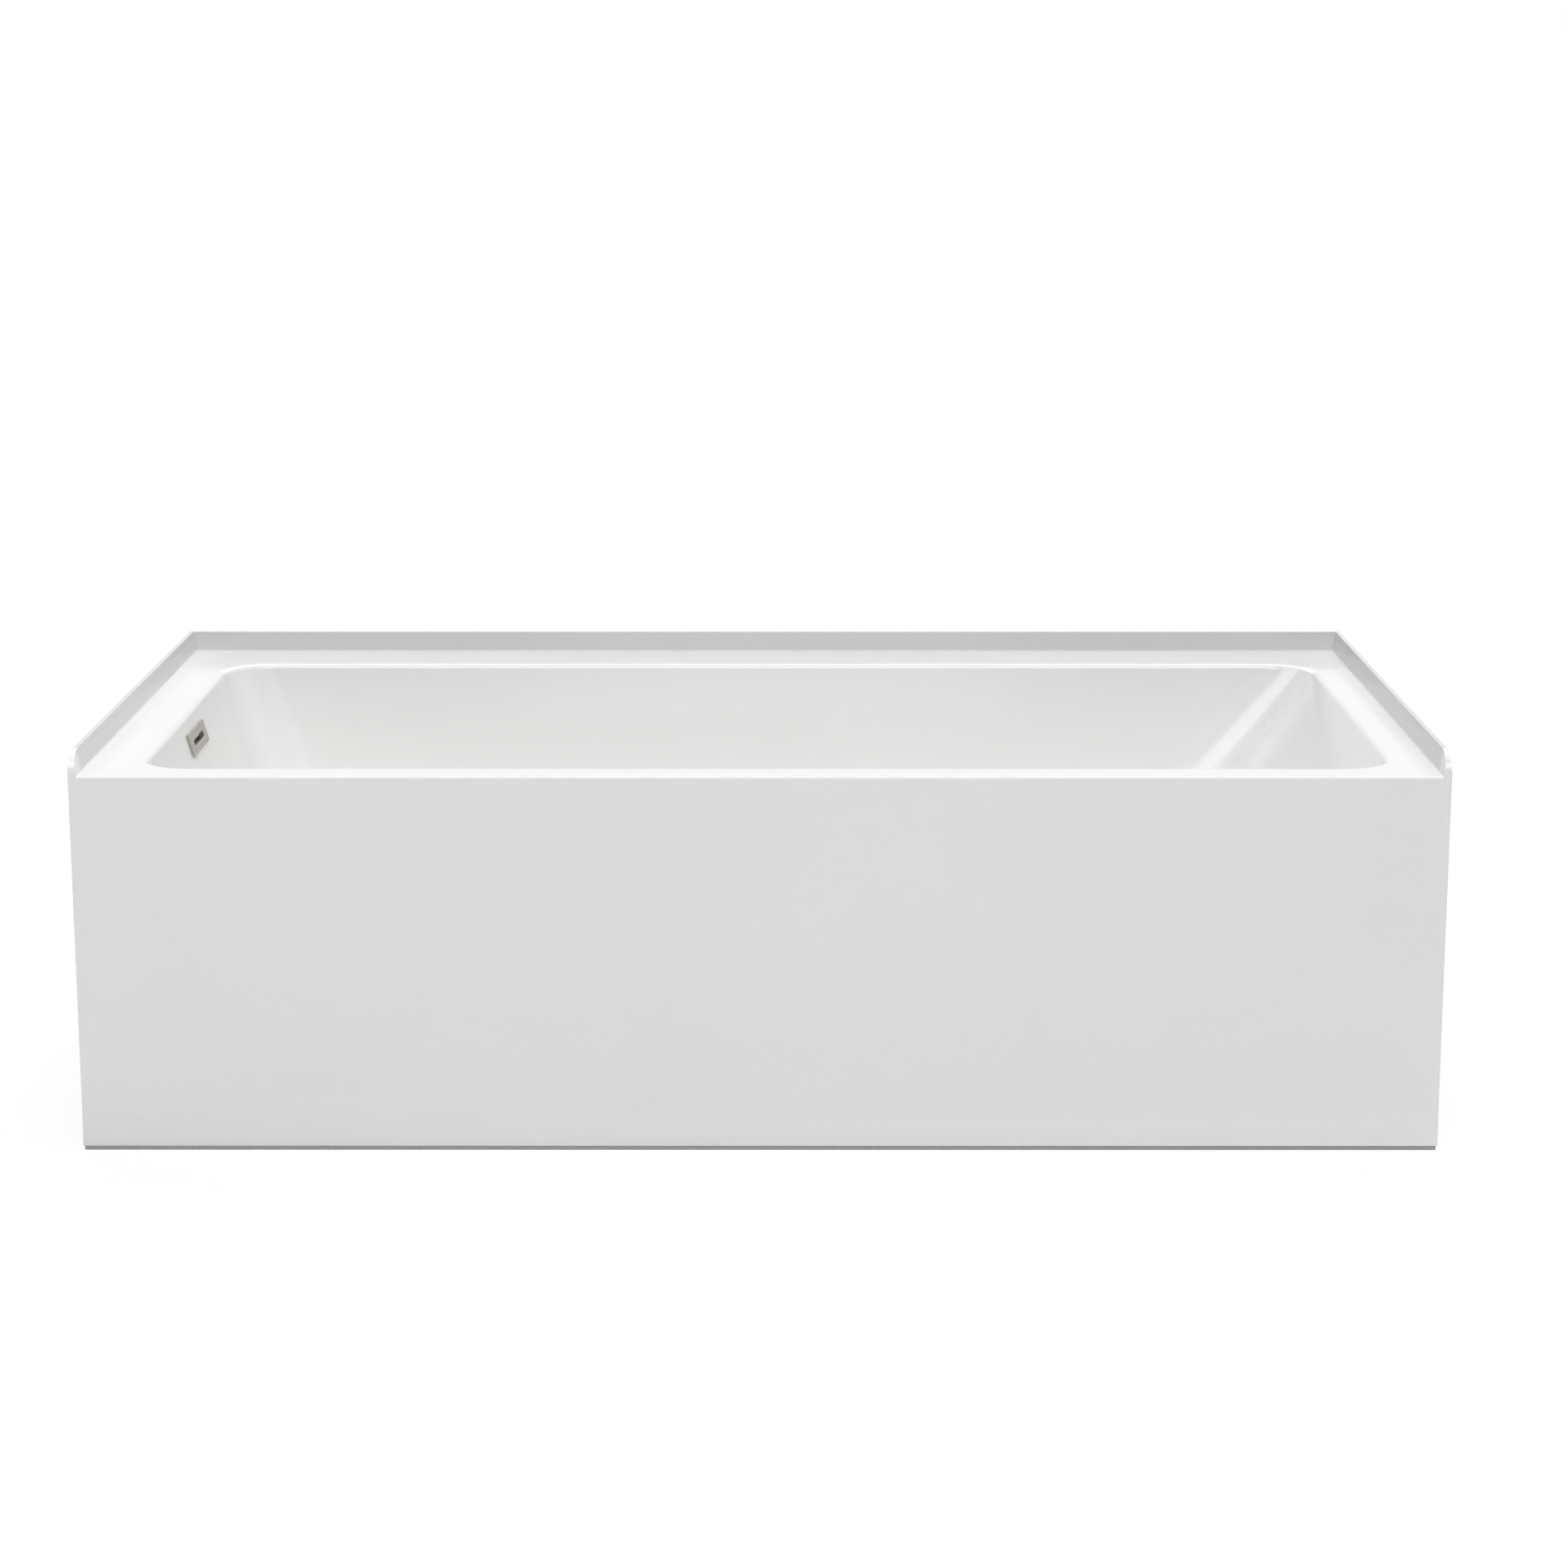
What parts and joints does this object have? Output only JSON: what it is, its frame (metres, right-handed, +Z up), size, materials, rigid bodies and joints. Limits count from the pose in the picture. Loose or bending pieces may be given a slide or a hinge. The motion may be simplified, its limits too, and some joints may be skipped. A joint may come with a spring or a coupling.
{
  "type": "alcove bathtub",
  "caption": "Skirted alcove bathtub with a sloped backrest, an upstanding tile flange, a slotted overflow plate, a lifting drain stopper and levelling feet under a timber and steel frame.",
  "frame": {"origin": "middle of the footprint's bounding rectangle, on the floor", "axes": "+X along the tub towards the sloped backrest, -X to the drain end, -Y out of the apron face, +Y to the back wall, +Z up"},
  "size_m": [1.524, 0.816, 0.454],
  "materials": {
    "acrylic_white": "gloss",
    "fibreglass": "rough laminate",
    "base_strip_grey": "matt",
    "timber": "sawn",
    "plywood": "sawn",
    "zinc_steel": "zinc plated",
    "foot_plastic": "matt",
    "brushed_nickel": "brushed",
    "pipe_white": "satin",
    "nut_grey": "matt",
    "rubber_black": "matt",
    "brass": "turned"
  },
  "bodies": {
    "tub": {"tub_rim": "acrylic_white", "basin_liner": "acrylic_white", "laminate_floor": "fibreglass", "laminate_front": "fibreglass", "laminate_back": "fibreglass", "laminate_drain_end": "fibreglass", "laminate_backrest_end": "fibreglass", "front_apron": "acrylic_white", "apron_base_strip": "base_strip_grey", "apron_top_batten": "timber", "apron_bottom_batten": "timber", "rim_board_back": "timber", "rim_board_end": "timber", "base_board": "plywood", "apron_brackets": "zinc_steel", "bracket_screws": "zinc_steel", "rail_screws": "zinc_steel", "weld_nuts": "zinc_steel", "lock_nuts": "zinc_steel", "overflow_plate": "brushed_nickel", "overflow_gasket": "rubber_black", "overflow_seal": "rubber_black", "overflow_housing": "pipe_white", "overflow_nuts": "brass", "overflow_pipe": "pipe_white", "overflow_slip_nut": "nut_grey", "tee_top_nut": "nut_grey", "tee_arm_nut": "nut_grey", "shoe_nut": "nut_grey", "waste_tee": "pipe_white", "waste_pipe": "pipe_white", "drain_shoe": "pipe_white", "drain_shoe_washer": "rubber_black", "drain_flange_seal": "rubber_black", "drain_flange": "brushed_nickel", "stopper_cartridge": "brass", "apron_rib_1": "timber", "apron_rib_2": "timber", "apron_rib_3": "timber", "apron_rib_4": "timber", "apron_rib_5": "timber", "cross_rail_1": "zinc_steel", "cross_rail_2": "zinc_steel", "cross_rail_3": "zinc_steel"},
    "stopper": {"stopper_cap": "brushed_nickel", "stopper_seal": "rubber_black", "stopper_stem": "brass"},
    "foot_1": {"foot_pad_1": "foot_plastic", "foot_screw_1": "zinc_steel"},
    "foot_2": {"foot_pad_2": "foot_plastic", "foot_screw_2": "zinc_steel"},
    "foot_3": {"foot_pad_3": "foot_plastic", "foot_screw_3": "zinc_steel"},
    "foot_4": {"foot_pad_4": "foot_plastic", "foot_screw_4": "zinc_steel"},
    "foot_5": {"foot_pad_5": "foot_plastic", "foot_screw_5": "zinc_steel"},
    "foot_6": {"foot_pad_6": "foot_plastic", "foot_screw_6": "zinc_steel"}
  },
  "joints": [
    {"name": "stopper_lift", "type": "slide", "parent": "tub", "child": "stopper", "axis": [0, 0, 1], "range_m": [0, 0.009]},
    {"name": "foot_1_level", "type": "slide", "parent": "tub", "child": "foot_1", "axis": [0, 0, -1], "range_m": [0, 0.02]},
    {"name": "foot_2_level", "type": "slide", "parent": "tub", "child": "foot_2", "axis": [0, 0, -1], "range_m": [0, 0.02]},
    {"name": "foot_3_level", "type": "slide", "parent": "tub", "child": "foot_3", "axis": [0, 0, -1], "range_m": [0, 0.02]},
    {"name": "foot_4_level", "type": "slide", "parent": "tub", "child": "foot_4", "axis": [0, 0, -1], "range_m": [0, 0.02]},
    {"name": "foot_5_level", "type": "slide", "parent": "tub", "child": "foot_5", "axis": [0, 0, -1], "range_m": [0, 0.02]},
    {"name": "foot_6_level", "type": "slide", "parent": "tub", "child": "foot_6", "axis": [0, 0, -1], "range_m": [0, 0.02]}
  ]
}
